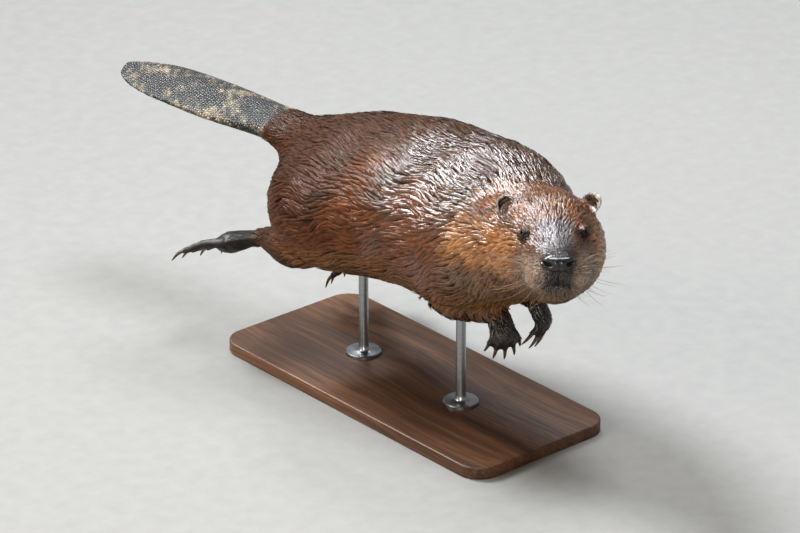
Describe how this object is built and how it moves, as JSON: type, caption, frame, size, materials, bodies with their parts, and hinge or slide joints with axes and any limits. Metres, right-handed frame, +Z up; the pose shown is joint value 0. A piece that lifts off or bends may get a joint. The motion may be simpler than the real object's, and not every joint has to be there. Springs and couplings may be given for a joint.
{
  "type": "beaver model",
  "caption": "Life-size still model of a swimming beaver with wet brown fur, webbed hind feet and a broad scaly tail, on a plain display stand.",
  "frame": {"origin": "middle of the underside of the stand's base", "axes": "+Z up; the trunk points along -Y, so +Y runs from the chest to the tail; the beaver's own left side is on +X"},
  "size_m": [0.3405, 0.9529, 0.4238],
  "materials": {
    "body_fur": "wet red-brown fur in pointed locks",
    "face_fur": "short wet fur, paler and greyer on the muzzle",
    "tail_scales": "dark grey scaly skin, wet",
    "foot_skin": "dark grey-brown pebbled skin",
    "nose_skin": "wet black skin",
    "eye": "near-black, clear and wet",
    "claw": "dark horn, smooth",
    "stand_wood": "dark stained wood, satin",
    "stand_steel": "brushed steel rod"
  },
  "bodies": {
    "root": {"head": "face_fur", "neck": "body_fur", "trunk": "body_fur", "tail_base": "body_fur", "tail_blade": "tail_scales", "nose": "nose_skin", "eye_right": "eye", "ear_right": "face_fur", "foreleg_right": "body_fur", "hindleg_right": "body_fur", "forepaw_right": "foot_skin", "hindfoot_right": "foot_skin", "claw_forepaw_right_1": "claw", "claw_forepaw_right_2": "claw", "claw_forepaw_right_3": "claw", "claw_forepaw_right_4": "claw", "claw_forepaw_right_5": "claw", "claw_hindfoot_right_1": "claw", "claw_hindfoot_right_2": "claw", "claw_hindfoot_right_3": "claw", "claw_hindfoot_right_4": "claw", "claw_hindfoot_right_5": "claw", "eye_left": "eye", "ear_left": "face_fur", "foreleg_left": "body_fur", "hindleg_left": "body_fur", "forepaw_left": "foot_skin", "hindfoot_left": "foot_skin", "claw_forepaw_left_1": "claw", "claw_forepaw_left_2": "claw", "claw_forepaw_left_3": "claw", "claw_forepaw_left_4": "claw", "claw_forepaw_left_5": "claw", "claw_hindfoot_left_1": "claw", "claw_hindfoot_left_2": "claw", "claw_hindfoot_left_3": "claw", "claw_hindfoot_left_4": "claw", "claw_hindfoot_left_5": "claw", "stand_base": "stand_wood", "stand_rod_front": "stand_steel", "stand_rod_rear": "stand_steel"}
  },
  "joints": []
}
